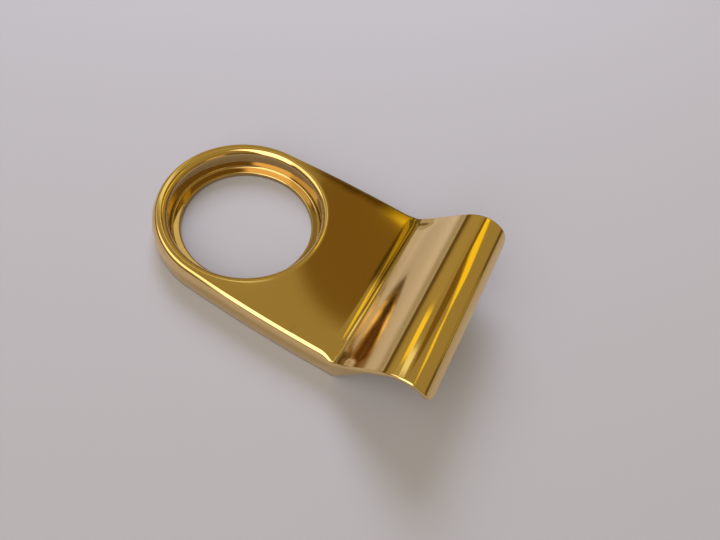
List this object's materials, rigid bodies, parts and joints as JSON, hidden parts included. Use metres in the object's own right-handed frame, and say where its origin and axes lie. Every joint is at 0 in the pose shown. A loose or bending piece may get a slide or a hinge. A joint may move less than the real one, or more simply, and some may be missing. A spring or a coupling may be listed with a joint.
{
  "type": "cylinder pull",
  "caption": "Polished brass cylinder pull: a round stepped hole in a tapered plate, which rises into a curled finger lip.",
  "frame": {"origin": "the hole's centre, on the back face that lies against the door", "axes": "+X from the hole towards the finger lip, +Z out of the door, +Y across; the pull is symmetric about the XZ plane"},
  "size_m": [0.0811, 0.0466, 0.0191],
  "materials": {
    "polished_brass": "mirror polished, lacquered"
  },
  "bodies": {
    "root": {"cylinder_pull": "polished_brass"}
  },
  "joints": []
}
